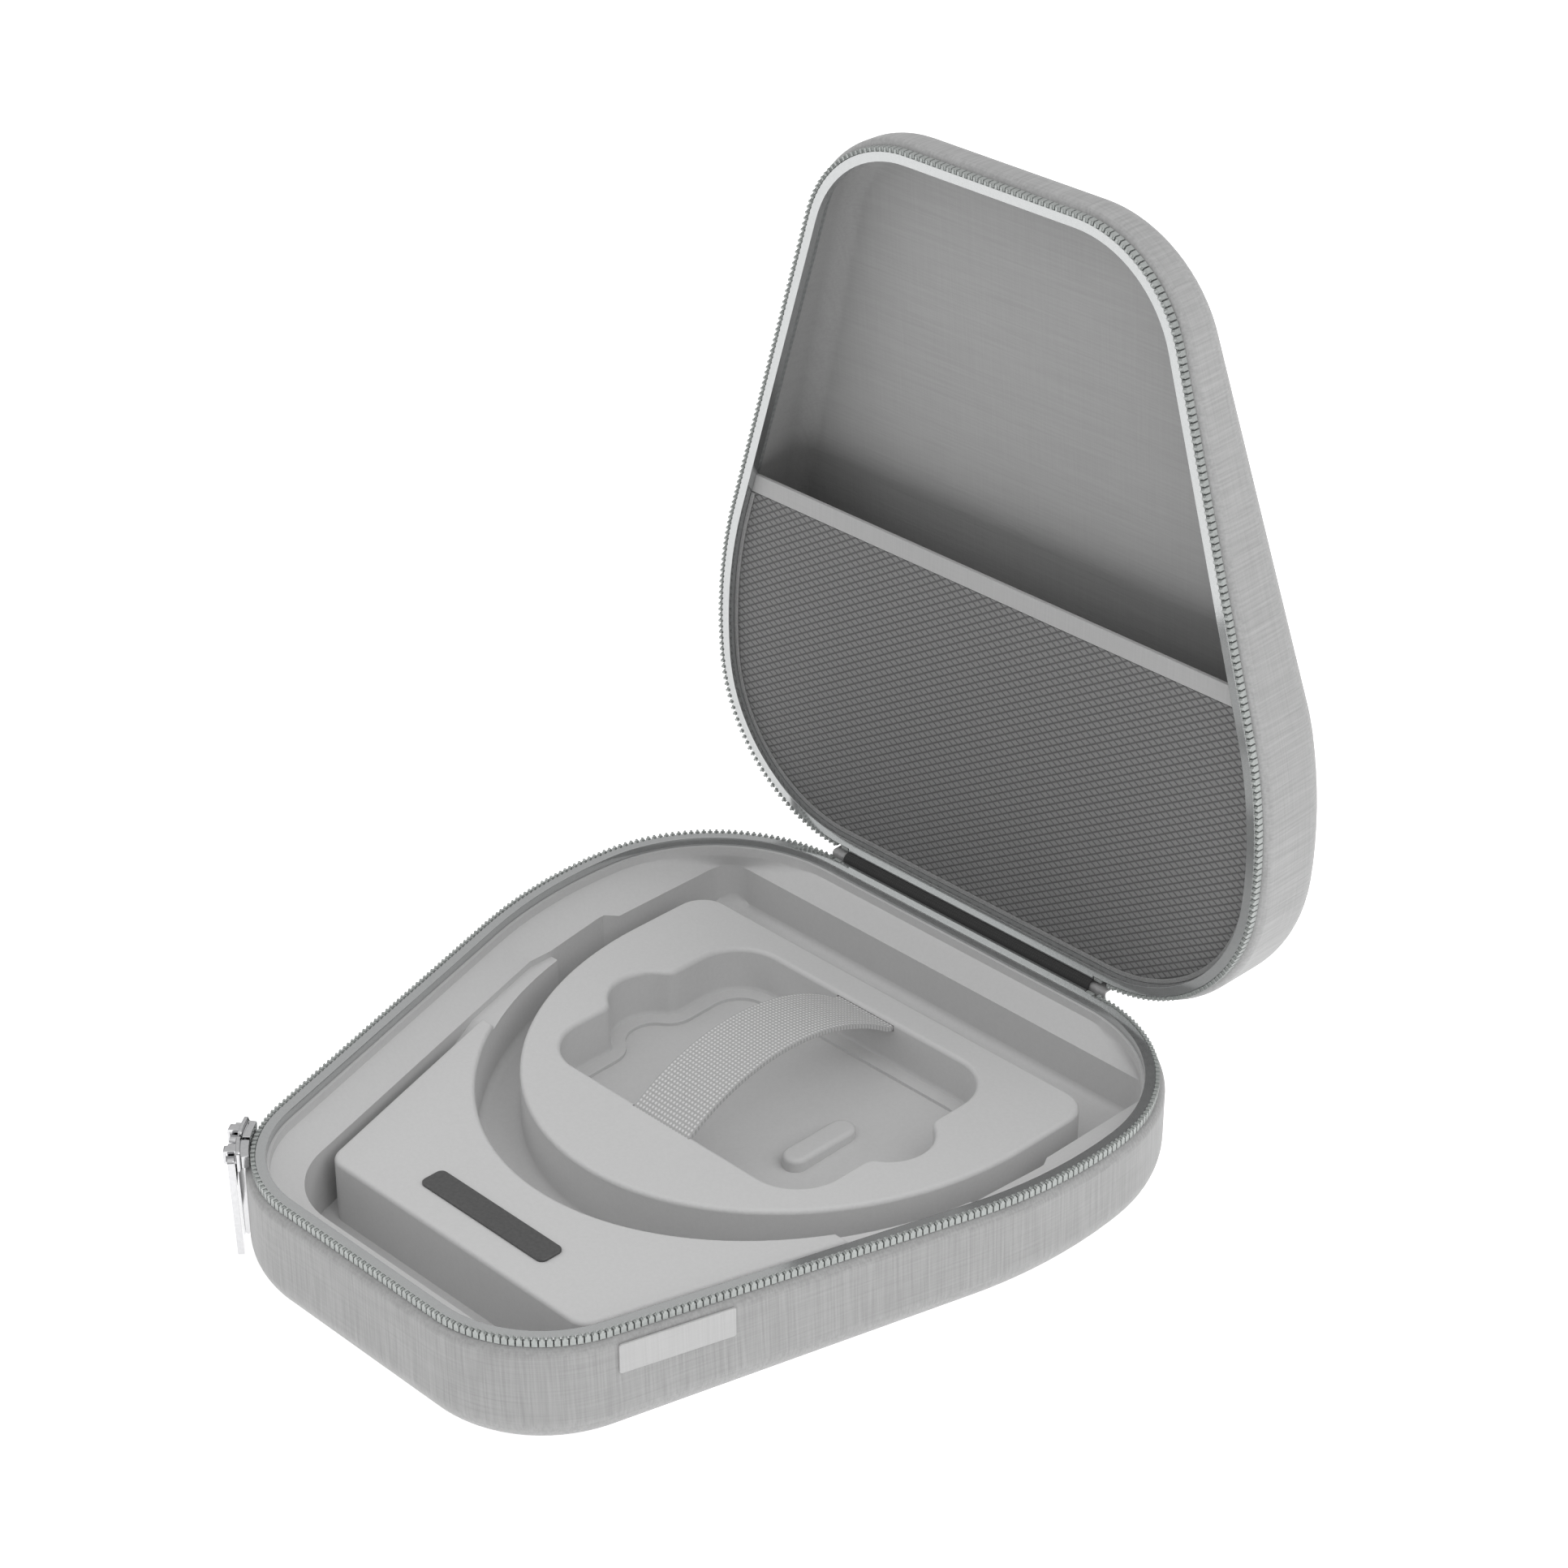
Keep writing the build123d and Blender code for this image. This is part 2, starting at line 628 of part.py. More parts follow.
def strap_anchors():
    """Plates stitched under the tails of the strap, below the plateau."""
    top = -plateau_depth - tray_thickness - 2 * glue_gap - strap_thickness
    plates = []
    for side_y, tail in ((1, strap_tail_back), (-1, strap_tail_front)):
        pocket_end = hinge_y - pocket_to_hinge - (0 if side_y > 0 else pocket_length)
        end = pocket_end + side_y * tail
        align = (Align.CENTER, Align.MAX if side_y > 0 else Align.MIN, Align.MAX)
        wall = tray_thickness + slot_clearance
        size = min(anchor_length, tail - wall)
        plates.append(Pos(0, end, top) * Box(anchor_width, size, anchor_thickness, align=align))
    return Compound(children=plates)


def plateau_edges(tray):
    """Edges round the tops of the two islands."""
    top = -plateau_depth
    flats = tray.faces().filter_by(Axis.Z).filter_by(lambda face: abs(face.center().Z - top) < same_place)
    return flats.edges()


def insert_tray():
    """Moulded tray: two islands in a flange, with a channel, a moat and a pocket."""
    outside = bowl(tray_thickness, rim_bottom - glue_gap)
    inside = bowl(0, deep)
    for carve in (channel_well, moat_well, pocket_well):
        outside += carve(tray_thickness)
        inside += carve(0)
    tray = fillet(plateau_edges(outside - inside), plateau_round)
    tray = tray + pocket_step() + pocket_bumps()
    slots = strap_solid(slot_clearance) & base_profile(tray_floor_lift + tray_thickness)
    return tray - (slots - prism(pocket_outline(-tray_thickness), -deep, deep))


def tray_badge():
    shape = RectangleRounded(badge_width, badge_depth, badge_radius)
    plate = Pos(0, front_y + badge_to_front, -plateau_depth + glue_gap) * extrude(shape, badge_thickness)
    return chamfer(plate.faces().sort_by(Axis.Z)[-1].edges(), badge_chamfer)


def side_label():
    """Plain plate on the right-hand wall of the base."""
    start = side_run_point(-wall_overhang - glue_gap)
    shape = Pos(label_start, -label_top - label_height) * RectangleRounded(
        label_width, label_height, label_radius, align=(Align.MIN, Align.MIN))
    heading = (math.sin(math.radians(side_slant)), math.cos(math.radians(side_slant)), 0)
    outward = (heading[1], -heading[0], 0)
    plate = extrude(Plane((start[0], start[1], 0), x_dir=heading, z_dir=outward) * shape, label_thickness)
    return plate


def lid_mesh():
    top = rim_bottom - glue_gap
    rear = Pos(0, hinge_y - pocket_mouth_to_hinge) * Rectangle(wide, wide, align=(Align.CENTER, Align.MIN))
    return prism(zip_outline(inner_offset - mesh_gap) & rear, top - mesh_thickness, top)


def lid_band():
    """Elastic band along the mouth of the mesh pocket."""
    top = rim_bottom - glue_gap
    strip = Pos(0, hinge_y - pocket_mouth_to_hinge - glue_gap) * Rectangle(
        wide, band_height, align=(Align.CENTER, Align.MAX))
    return prism(zip_outline(inner_offset - mesh_gap) & strip, top - band_thickness_lid, top)


def lid_binding():
    """Overlocked edge of the mesh, beside the rim."""
    rear = Pos(0, hinge_y - pocket_mouth_to_hinge) * Rectangle(wide, wide, align=(Align.CENTER, Align.MIN))
    outer = rim_inner - 2 * glue_gap
    area = (zip_outline(outer) - zip_outline(outer - binding_width)) & rear
    return prism(area, rim_bottom, rim_bottom + binding_thickness)


def sector(inner, outer, length, bottom, top):
    """Curved block round the front corner, centred on the X axis from the corner's centre."""
    half = math.degrees(length / 2 / (front_corner_radius + (inner + outer) / 2))
    radii = (front_corner_radius + inner, front_corner_radius + outer)
    centre = (0, 0)
    edges = [arc(centre, radii[0], -half, half), arc(centre, radii[1], -half, half),
             Line(polar(centre, radii[0], -half), polar(centre, radii[1], -half)),
             Line(polar(centre, radii[0], half), polar(centre, radii[1], half))]
    return prism(make_face(Curve() + edges), bottom, top)


def slider_at_zero():
    """Slider body on the outside of the chain: a block with a wider plate over it."""
    start = slider_gap + slider_depth
    block = sector(slider_gap, start, slider_length, -slider_height / 2, slider_height / 2)
    plate = sector(start, start + plate_depth, plate_length, -plate_height / 2, plate_height / 2)
    across = plate.edges().filter_by(lambda edge: abs(edge.length - plate_depth) < same_place)
    plate = fillet(across, plate_radius)
    return block + plate


def bridge_at_zero():
    """Loop over the bar of the pull, standing on the plate."""
    foot = front_corner_radius + slider_gap + slider_depth + plate_depth + glue_gap
    inner_x = front_corner_radius + bar_offset + bar_radius + bar_gap
    half_open = bar_radius + bar_gap
    outer_x = inner_x + bridge_thickness
    half_outer = half_open + bridge_thickness
    solid = Box(outer_x - foot, bridge_width, 2 * half_outer, align=(Align.MIN, Align.CENTER, Align.CENTER))
    solid = Pos(foot, 0, 0) * solid
    outer_edges = solid.edges().filter_by(Axis.Y).sort_by(Axis.X)[-2:]
    solid = fillet(outer_edges, bridge_round)
    reach = inner_x - foot + cut_margin
    opening = Pos(foot - cut_margin, 0, 0) * Box(reach, 2 * bridge_width, 2 * half_open,
                                                 align=(Align.MIN, Align.CENTER, Align.CENTER))
    return solid - opening


def pull_at_zero():
    """Pull hanging along -Z, its bar on the Y axis."""
    plate = RectangleRounded(pull_width, pull_length, pull_radius, align=(Align.CENTER, Align.MAX))
    body = extrude(Plane.YZ * Pos(0, bar_radius) * plate, pull_thickness / 2, both=True)
    low = -pull_length + bar_radius
    side = pull_width / 2 + cut_margin
    trim = make_face(Polyline([(0, side, low + pull_end_chamfer + cut_margin),
                               (0, pull_width / 2 - pull_end_chamfer, low),
                               (0, side, low - cut_margin)], close=True))
    right = extrude(trim, pull_thickness, dir=(1, 0, 0), both=True)
    body = body - right - mirror(right, Plane.XZ)
    top_z = -bar_radius
    half_top = window_width / 2 - window_taper
    window = make_face(Polyline([(0, -half_top, top_z), (0, half_top, top_z),
                                 (0, window_width / 2, top_z - window_height),
                                 (0, -window_width / 2, top_z - window_height)], close=True))
    body = body - extrude(window, pull_thickness, dir=(1, 0, 0), both=True)
    return body


def at_corner(shape, angle):
    """Turns a shape drawn at angle zero to its place on the front left corner."""
    return Pos(-front_centre[0], front_centre[1], 0) * shape.rotate(Axis.Z, angle)


def bar_place(angle):
    return polar((-front_centre[0], front_centre[1]), front_corner_radius + bar_offset, angle)


def level(shape):
    """Turns the case until its underside is level and moves the origin to the middle of it."""
    turned = shape.rotate(Axis.X, -base_tilt)
    middle_y = hinge_y - zip_length / 2
    spot = Vector(0, middle_y, bottom_plane(middle_y)).rotate(Axis.X, -base_tilt)
    return Pos(0, -spot.Y, -spot.Z) * turned


def opened(shape):
    """Turns a part drawn like the base into its place in the open lid."""
    return mirror(shape, Plane((0, 0, 0), z_dir=(0, 1, 1)))


def hung(angle):
    """Pull hanging straight down from its slider after the case is level."""
    place = bar_place(angle)
    spot = level(Vertex(place[0], place[1], 0)).center()
    return Pos(spot) * pull_at_zero().rotate(Axis.Z, angle)


def all_parts():
    base_cover, base_shell, base_lining = half_layers(base_profile, base_edge_radius)
    lid_cover, lid_shell, lid_lining = half_layers(lid_profile, lid_edge_radius)
    base = {"base_cover": base_cover, "base_shell": base_shell, "base_lining": base_lining,
            "base_rim": rim_frame(), "base_zip_tape": zip_tape(), "base_zip_teeth": zip_teeth(0),
            "base_zip_stops": zip_stops(), "hinge_tape_base": hinge_tape(),
            "hinge_spine_base": hinge_spine(), "insert_tray": insert_tray(), "tray_badge": tray_badge(),
            "elastic_strap": strap_solid(0), "strap_anchors": strap_anchors(), "side_label": side_label()}
    lid = {"lid_cover": lid_cover, "lid_shell": lid_shell, "lid_lining": lid_lining,
           "lid_rim": rim_frame(), "lid_zip_tape": zip_tape(), "lid_zip_teeth": zip_teeth(0.5),
           "lid_zip_stops": zip_stops(), "hinge_tape_lid": hinge_tape(),
           "hinge_spine_lid": hinge_spine(), "mesh_pocket": lid_mesh(), "pocket_band": lid_band(),
           "pocket_binding": lid_binding()}
    parts = {name: level(shape) for name, shape in base.items()}
    parts.update({name: level(opened(shape)) for name, shape in lid.items()})
    for name, angle in zip(("rear", "front"), slider_angles):
        parts["slider_" + name] = level(at_corner(slider_at_zero(), angle))
        parts["slider_bridge_" + name] = level(at_corner(bridge_at_zero(), angle))
        parts["pull_" + name] = hung(angle)
    return parts


def main():
    os.makedirs("parts", exist_ok=True)
    for name, shape in all_parts().items():
        export_step(shape, "parts/" + name + ".step")


main()
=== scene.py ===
"""Looks of a zipped headphone case: its textiles, zip, moulded tray, mesh pocket and pulls."""
import json
import math

import bpy
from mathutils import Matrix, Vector

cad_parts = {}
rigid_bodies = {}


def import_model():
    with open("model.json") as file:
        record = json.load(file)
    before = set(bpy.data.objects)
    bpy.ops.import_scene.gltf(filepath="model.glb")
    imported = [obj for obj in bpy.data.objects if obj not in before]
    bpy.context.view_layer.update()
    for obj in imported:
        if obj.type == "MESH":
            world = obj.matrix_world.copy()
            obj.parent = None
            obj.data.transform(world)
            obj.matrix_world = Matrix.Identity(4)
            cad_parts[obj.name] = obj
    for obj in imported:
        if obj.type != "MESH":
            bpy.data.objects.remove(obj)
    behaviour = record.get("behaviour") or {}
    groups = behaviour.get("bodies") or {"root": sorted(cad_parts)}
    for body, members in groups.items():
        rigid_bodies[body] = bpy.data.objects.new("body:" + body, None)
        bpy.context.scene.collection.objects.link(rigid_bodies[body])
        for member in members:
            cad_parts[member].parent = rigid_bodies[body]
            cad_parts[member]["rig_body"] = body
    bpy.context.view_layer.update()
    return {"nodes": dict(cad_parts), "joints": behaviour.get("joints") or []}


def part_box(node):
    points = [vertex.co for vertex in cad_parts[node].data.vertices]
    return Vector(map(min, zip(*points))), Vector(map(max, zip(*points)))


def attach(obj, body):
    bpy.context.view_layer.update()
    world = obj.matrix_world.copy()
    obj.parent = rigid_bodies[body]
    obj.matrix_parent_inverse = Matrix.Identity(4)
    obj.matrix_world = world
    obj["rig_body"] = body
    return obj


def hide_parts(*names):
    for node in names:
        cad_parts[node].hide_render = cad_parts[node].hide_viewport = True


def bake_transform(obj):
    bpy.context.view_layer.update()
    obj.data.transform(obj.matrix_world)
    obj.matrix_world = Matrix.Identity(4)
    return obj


MM = 0.001
DOUBLES = 0.004 * MM          # points nearer than this are merged
WHITE = (1, 1, 1, 1)

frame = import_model()
nodes = frame["nodes"]


# ---------------------------------------------------------------- materials

WAVE_SCALE = 20               # a wave texture of scale 1 has this many radians in one unit
NOISE_LOW, NOISE_HIGH = 0.35, 0.65   # most of a noise pattern lies between these two


class Finish:
    """A material with one Principled shader, built step by step."""

    def __init__(self, name, colour, roughness, metallic=0.0):
        self.material = bpy.data.materials.new(name)
        self.material.use_nodes = True
        self.tree = self.material.node_tree
        self.shader = self.tree.nodes["Principled BSDF"]
        self.colour = colour
        self.shader.inputs["Base Color"].default_value = (*colour, 1)
        self.shader.inputs["Roughness"].default_value = roughness
        self.shader.inputs["Metallic"].default_value = metallic
        self.coords = self.tree.nodes.new("ShaderNodeTexCoord").outputs["Object"]

    def add(self, kind, **values):
        node = self.tree.nodes.new(kind)
        for name, value in values.items():
            setattr(node, name, value)
        return node

    def link(self, source, target):
        self.tree.links.new(source, target)

    def placed(self, scale, turn=(0, 0, 0)):
        """Object coordinates, scaled to repeats per metre and turned."""
        mapping = self.add("ShaderNodeMapping")
        mapping.inputs["Scale"].default_value = scale
        mapping.inputs["Rotation"].default_value = [math.radians(a) for a in turn]
        self.link(self.coords, mapping.inputs["Vector"])
        return mapping.outputs["Vector"]

    def noise(self, scale, detail):
        """Cloudy pattern from 0 to 1, stretched by its repeats per metre in each direction."""
        node = self.add("ShaderNodeTexNoise")
        node.inputs["Scale"].default_value = 1
        node.inputs["Detail"].default_value = detail
        self.link(self.placed(scale), node.inputs["Vector"])
        return node.outputs["Fac"]

    def waves(self, scale, turn=(0, 0, 0), direction="X"):
        """Parallel ridges across one direction, one repeat per unit of the scaled coordinates."""
        node = self.add("ShaderNodeTexWave", bands_direction=direction)
        node.inputs["Scale"].default_value = math.tau / WAVE_SCALE
        node.inputs["Distortion"].default_value = 0
        self.link(self.placed(scale, turn), node.inputs["Vector"])
        return node.outputs["Fac"]

    def math(self, operation, first, second):
        """Result of a sum or product of two values, each a number or a socket."""
        node = self.add("ShaderNodeMath", operation=operation)
        for slot, value in enumerate((first, second)):
            if isinstance(value, (int, float)):
                node.inputs[slot].default_value = value
            else:
                self.link(value, node.inputs[slot])
        return node.outputs["Value"]

    def remap(self, value, low, high, new_low, new_high):
        """Value stretched from low and high to a new low and high, and held between them."""
        node = self.add("ShaderNodeMapRange")
        limits = {"From Min": low, "From Max": high, "To Min": new_low, "To Max": new_high}
        for name, number in limits.items():
            node.inputs[name].default_value = number
        self.link(value, node.inputs["Value"])
        return node.outputs["Result"]

    def shade(self, value, dark, light):
        """Base colour from dark to light times the finish's colour, by a value from 0 to 1."""
        ramp = self.add("ShaderNodeMix", data_type="RGBA")
        ramp.inputs["A"].default_value = (*[c * dark for c in self.colour], 1)
        ramp.inputs["B"].default_value = (*[min(1, c * light) for c in self.colour], 1)
        self.link(value, ramp.inputs["Factor"])
        self.link(ramp.outputs["Result"], self.shader.inputs["Base Color"])
        return self

    def relief(self, value, height):
        """Raises the surface by up to height metres, by a value from 0 to 1."""
        bump = self.add("ShaderNodeBump")
        bump.inputs["Strength"].default_value = 1
        bump.inputs["Distance"].default_value = height
        self.link(value, bump.inputs["Height"])
        self.link(bump.outputs["Normal"], self.shader.inputs["Normal"])
        return self

    def sheen(self, weight, roughness):
        self.shader.inputs["Sheen Weight"].default_value = weight
        self.shader.inputs["Sheen Roughness"].default_value = roughness
        return self


def linen(name, colour, contrast, relief, lines=(1500, 1500, 40), cross=(45, 45, 1900)):
    """Fine linen weave: long streaks one way, crossed by fainter ones. Scales are repeats per metre."""
    finish = Finish(name, colour, 0.78).sheen(0.25, 0.4)
    streaks = finish.noise(lines, 4)
    crossing = finish.noise(cross, 4)
    threads = finish.math("ADD", finish.math("MULTIPLY", streaks, 0.65),
                          finish.math("MULTIPLY", crossing, 0.35))
    spread = finish.remap(threads, 0.36, 0.64, 0, 1)
    return finish.shade(spread, 1 - contrast, 1 + contrast).relief(spread, relief)


def fine_grain(name, colour, roughness, contrast, relief, metallic=0.0, grain=900):
    """Moulded plastic with a fine satin grain."""
    finish = Finish(name, colour, roughness, metallic)
    value = finish.noise((grain, grain, grain), 5)
    spread = finish.remap(value, NOISE_LOW, NOISE_HIGH, 0, 1)
    return finish.shade(spread, 1 - contrast, 1 + contrast).relief(spread, relief)


def webbing(name, colour, thread, contrast, relief):
    """Plain weave seen flat on in X and Y: thread is its pitch in metres."""
    finish = Finish(name, colour, 0.8).sheen(0.3, 0.4)
    across = finish.waves((1 / thread, 1 / thread, 0), direction="X")
    along = finish.waves((1 / thread, 1 / thread, 0), direction="Y")
    weave = finish.math("MULTIPLY", across, along)
    fuzz = finish.noise((2600, 2600, 2600), 3)
    value = finish.math("ADD", finish.math("MULTIPLY", weave, 0.8), finish.math("MULTIPLY", fuzz, 0.3))
    return finish.shade(value, 1 - contrast, 1 + contrast).relief(value, relief)


def net(name, colour, cell_width, cell_height, relief):
    """Warp-knitted mesh in the plane of the open lid: upright diamonds between two families of grooves,
    with the grooves darkened as painted shade.
    """
    finish = Finish(name, colour, 0.85).sheen(0.2, 0.4)
    across = math.sqrt(2) / cell_width
    up = math.sqrt(2) / cell_height
    first = finish.waves((across, 0, up), turn=(0, 45, 0), direction="X")
    second = finish.waves((across, 0, up), turn=(0, -45, 0), direction="X")
    strands = finish.math("MINIMUM", first, second)
    # Painted shade: where either family of grooves runs, this value falls to 0, so the grooves go dark as
    # the shade in the knit's openings; the same value also sets the relief.
    painted_groove_shade = finish.remap(strands, 0.0, 0.3, 0, 1)
    fuzz = finish.noise((1800, 1800, 1800), 2)
    value = finish.math("MULTIPLY", painted_groove_shade, finish.remap(fuzz, 0, 1, 0.85, 1.1))
    # Painted shade in the grooves: the base colour falls to 0.42 of the mesh's colour there.
    return finish.shade(value, 0.42, 1.0).relief(value, relief)


cover_linen = linen("cover_linen", (0.36, 0.36, 0.36), 0.12, 0.00005)
# Painted light: the lid's cover is the base's cover cloth with its streaks turned for the open lid, made
# lighter (0.39 against 0.36) so that the lid's side shows lighter than the base's walls.
lid_linen_painted_lighter = linen("lid_linen_painted_lighter", (0.39, 0.39, 0.39), 0.12, 0.00005,
                  lines=(1500, 40, 1500), cross=(45, 1900, 45))
lining_linen = linen("lining_linen", (0.34, 0.34, 0.34), 0.05, 0.00003,
                     lines=(40, 1500, 1500), cross=(1900, 45, 45))
shell_board = fine_grain("shell_board", (0.12, 0.12, 0.12), 0.8, 0.1, 0.00005)
tray_satin = fine_grain("tray_satin", (0.60, 0.60, 0.60), 0.6, 0.015, 0.00001)
rim_gloss = fine_grain("rim_gloss", (0.50, 0.51, 0.51), 0.1, 0.02, 0.000001, metallic=0.8)
teeth_plastic = fine_grain("teeth_plastic", (0.40, 0.42, 0.41), 0.3, 0.08, 0.00001, metallic=0.3)
badge_lacquer = fine_grain("badge_lacquer", (0.07, 0.07, 0.07), 0.35, 0.12, 0.00001)
label_cloth = linen("label_cloth", (0.5, 0.5, 0.5), 0.04, 0.00002)
strap_webbing = webbing("strap_webbing", (0.60, 0.60, 0.60), 0.0013, 0.45, 0.0003)
hinge_weave = webbing("hinge_weave", (0.03, 0.03, 0.03), 0.0008, 0.3, 0.0001)
tape_weave = webbing("tape_weave", (0.25, 0.26, 0.26), 0.0007, 0.2, 0.0001)
mesh_net = net("mesh_net", (0.22, 0.22, 0.22), 4.3 * MM, 2.59 * MM, 0.2 * MM)
band_elastic = linen("band_elastic", (0.42, 0.42, 0.42), 0.04, 0.00003)
stitch_thread = fine_grain("stitch_thread", (0.3, 0.3, 0.3), 0.6, 0.2, 0.00005, grain=2500)
pull_chrome = fine_grain("pull_chrome", (0.62, 0.62, 0.63), 0.1, 0.03, 0.000002, metallic=1.0)


def paint(piece, finish):
    piece.data.materials.clear()
    piece.data.materials.append(finish.material)


# ---------------------------------------------------------------- pieces taken over from the frame

def only(piece):
    """Makes a piece the only one selected, and active."""
    bpy.ops.object.select_all(action="DESELECT")
    piece.select_set(True)
    bpy.context.view_layer.objects.active = piece


def copy_of(node, name):
    """A loose copy of a CAD node's mesh, with its doubles merged."""
    piece = bpy.data.objects.new(name, nodes[node].data.copy())
    bpy.context.scene.collection.objects.link(piece)
    only(piece)
    bpy.ops.mesh.customdata_custom_splitnormals_clear()
    bpy.ops.object.mode_set(mode="EDIT")
    bpy.ops.mesh.select_all(action="SELECT")
    bpy.ops.mesh.remove_doubles(threshold=DOUBLES)
    bpy.ops.object.mode_set(mode="OBJECT")
    return piece


def level_shading(piece):
    """Keeps the shading of flat faces level beside their rounded edges."""
    levelling = piece.modifiers.new("level shading", "WEIGHTED_NORMAL")
    levelling.keep_sharp = True
    bpy.ops.object.modifier_apply(modifier=levelling.name)


def finished(node, finish, edge=0.0, smooth=40):
    """A CAD node's copy with rounded edges, in its finish, in the node's place."""
    piece = copy_of(node, node + "_finished")
    only(piece)
    if edge:
        bpy.ops.object.mode_set(mode="EDIT")
        bpy.ops.mesh.select_all(action="SELECT")
        bpy.ops.mesh.dissolve_limited(angle_limit=math.radians(1))
        bpy.ops.object.mode_set(mode="OBJECT")
        rounding = piece.modifiers.new("rounding", "BEVEL")
        rounding.width = edge
        rounding.segments = 2
        rounding.limit_method = "ANGLE"
        rounding.angle_limit = math.radians(35)
        rounding.use_clamp_overlap = True
        bpy.ops.object.modifier_apply(modifier=rounding.name)
    bpy.ops.object.shade_smooth_by_angle(angle=math.radians(smooth))
    level_shading(piece)
    paint(piece, finish)
    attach(piece, nodes[node]["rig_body"])
    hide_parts(node)
    return piece


for half in ("base", "lid"):
    finished(half + "_cover", cover_linen if half == "base" else lid_linen_painted_lighter)
    finished(half + "_shell", shell_board)
    finished(half + "_lining", lining_linen)
    finished(half + "_rim", rim_gloss, edge=0.25 * MM)
    finished(half + "_zip_tape", tape_weave)
    finished(half + "_zip_teeth", teeth_plastic)
    finished(half + "_zip_stops", teeth_plastic, edge=0.2 * MM)
finished("insert_tray", tray_satin, smooth=35)
finished("tray_badge", badge_lacquer)
strap = finished("elastic_strap", strap_webbing, edge=0.3 * MM)
finished("strap_anchors", hinge_weave)
finished("side_label", label_cloth, edge=0.2 * MM)
mesh = finished("mesh_pocket", mesh_net)
band = finished("pocket_band", band_elastic, edge=0.4 * MM)
binding = finished("pocket_binding", stitch_thread, edge=0.15 * MM)
for place in ("rear", "front"):
    finished("slider_" + place, pull_chrome, edge=0.3 * MM)
    finished("slider_bridge_" + place, pull_chrome, edge=0.15 * MM)
    finished("pull_" + place, pull_chrome, edge=0.3 * MM)


# ---------------------------------------------------------------- hinge fabrics

lid_hinge = next(joint for joint in frame["joints"] if joint["name"] == "lid_hinge")
hinge = Vector(lid_hinge["pos_m"])
hinge_half_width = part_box("hinge_tape_base")[1].x


def hinge_cloth(name, half_width, radius, tail, thickness, finish, stands_for):
    """Strip of cloth that goes up the base, round the hinge's axis and out along the lid."""
    bpy.ops.object.select_all(action="DESELECT")
    bpy.ops.mesh.primitive_plane_add(size=1, rotation=(math.radians(90), 0, 0),
                                     location=(0, hinge.y - radius, hinge.z - tail / 2))
    cloth = bpy.context.object
    cloth.name = name
    cloth.scale = (2 * half_width, tail, 1)
    bpy.ops.object.transform_apply(location=True, rotation=True, scale=True)
    bpy.ops.object.mode_set(mode="EDIT")
    bpy.ops.mesh.select_mode(type="EDGE")
    bpy.ops.mesh.select_all(action="SELECT")
    bpy.ops.mesh.subdivide(number_cuts=6)
    bpy.ops.mesh.select_all(action="DESELECT")
    select_edges(cloth, lambda point: point.z > hinge.z - 0.01 * MM)
    bpy.ops.mesh.spin(steps=10, angle=math.radians(90), center=hinge, axis=(1, 0, 0))
    bpy.ops.mesh.extrude_region_move(TRANSFORM_OT_translate={"value": (0, tail, 0)})
    bpy.ops.object.mode_set(mode="OBJECT")
    wall = cloth.modifiers.new("wall", "SOLIDIFY")
    wall.thickness = thickness
    wall.offset = 0
    bpy.ops.object.modifier_apply(modifier=wall.name)
    bpy.ops.object.shade_smooth_by_angle(angle=math.radians(50))
    paint(cloth, finish)
    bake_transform(cloth)
    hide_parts(*stands_for)
    return cloth


def select_edges(piece, wanted):
    """Selects, in edit mode, the edges whose two ends are both wanted."""
    bpy.ops.object.mode_set(mode="OBJECT")
    points = piece.data.vertices
    for edge in piece.data.edges:
        edge.select = all(wanted(points[number].co) for number in edge.vertices)
    bpy.ops.object.mode_set(mode="EDIT")


hinge_cloth("hinge_inner_cloth", hinge_half_width, 1.9 * MM, 3.8 * MM, 0.5 * MM,
            hinge_weave, ("hinge_tape_base", "hinge_tape_lid"))
hinge_cloth("hinge_outer_cloth", hinge_half_width + 6 * MM, 0.8 * MM, 15.0 * MM, 0.6 * MM,
            cover_linen, ("hinge_spine_base", "hinge_spine_lid"))


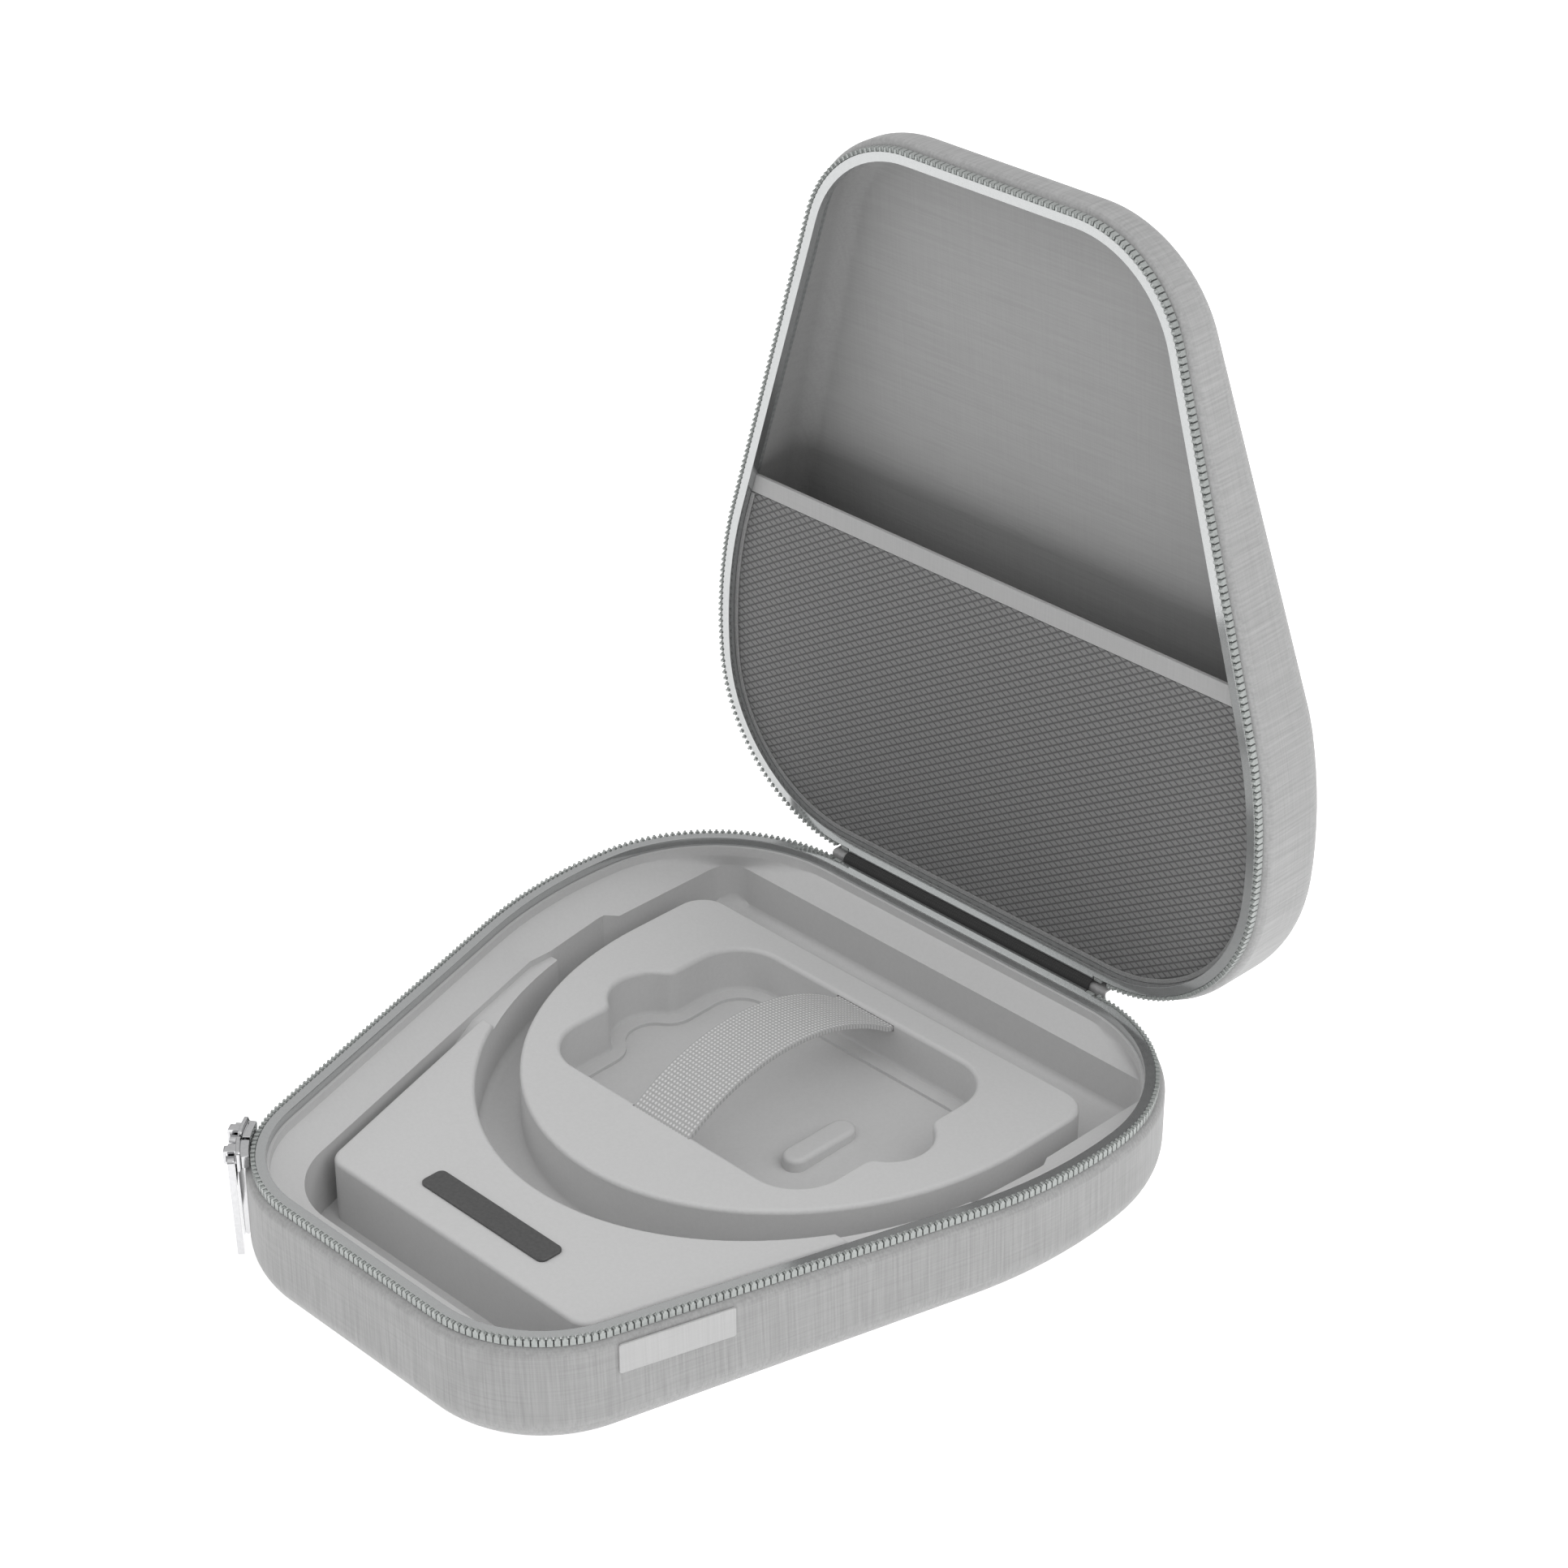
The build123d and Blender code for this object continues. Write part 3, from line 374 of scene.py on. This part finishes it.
# ---------------------------------------------------------------- floor, light and camera

bpy.ops.object.select_all(action="DESELECT")
bpy.ops.mesh.primitive_plane_add(size=6, location=(0, 0, -0.2 * MM))
floor = bpy.context.object
floor.name = "floor"
floor_finish = Finish("floor_white", (0.8, 0.8, 0.8), 0.9)
floor_finish.shader.inputs["Specular IOR Level"].default_value = 0
floor_finish.shader.inputs["Emission Color"].default_value = WHITE
floor_finish.shader.inputs["Emission Strength"].default_value = 0.75
paint(floor, floor_finish)

world = bpy.data.worlds.new("studio")
bpy.context.scene.world = world
world.use_nodes = True
sky = world.node_tree
direction = sky.nodes.new("ShaderNodeTexCoord").outputs["Generated"]
height = sky.nodes.new("ShaderNodeSeparateXYZ")
sky.links.new(direction, height.inputs["Vector"])
brightness = sky.nodes.new("ShaderNodeMapRange")
for socket, value in (("From Min", 0.0), ("From Max", 0.9), ("To Min", 0.25), ("To Max", 0.9)):
    brightness.inputs[socket].default_value = value
sky.links.new(height.outputs["Z"], brightness.inputs["Value"])
sky.links.new(brightness.outputs["Result"], sky.nodes["Background"].inputs["Strength"])
sky.nodes["Background"].inputs["Color"].default_value = WHITE
bpy.context.scene.view_settings.view_transform = "Standard"


def softbox(name, location, size, power):
    """Square lamp aimed at the middle of the case."""
    light = bpy.data.lights.new(name, "AREA")
    light.shape = "SQUARE"
    light.size = size
    light.energy = power
    lamp = bpy.data.objects.new(name, light)
    bpy.context.scene.collection.objects.link(lamp)
    lamp.location = location
    lamp.rotation_euler = (Vector((0, 0, 0.1)) - Vector(location)).to_track_quat("-Z", "Y").to_euler()


softbox("key", (1.0, 0.2, 1.1), 1.2, 5.5)
softbox("left", (-1.2, -0.7, 0.9), 0.8, 2.5)

camera_data = bpy.data.cameras.new("camera")
camera_data.lens = 87.93
camera_data.sensor_width = 36
camera = bpy.data.objects.new("camera", camera_data)
bpy.context.scene.collection.objects.link(camera)
camera.location = (0.68792, -0.61425, 0.70534)
camera.rotation_euler = (1.018577, 0.020545, 0.792259)
bpy.context.scene.camera = camera
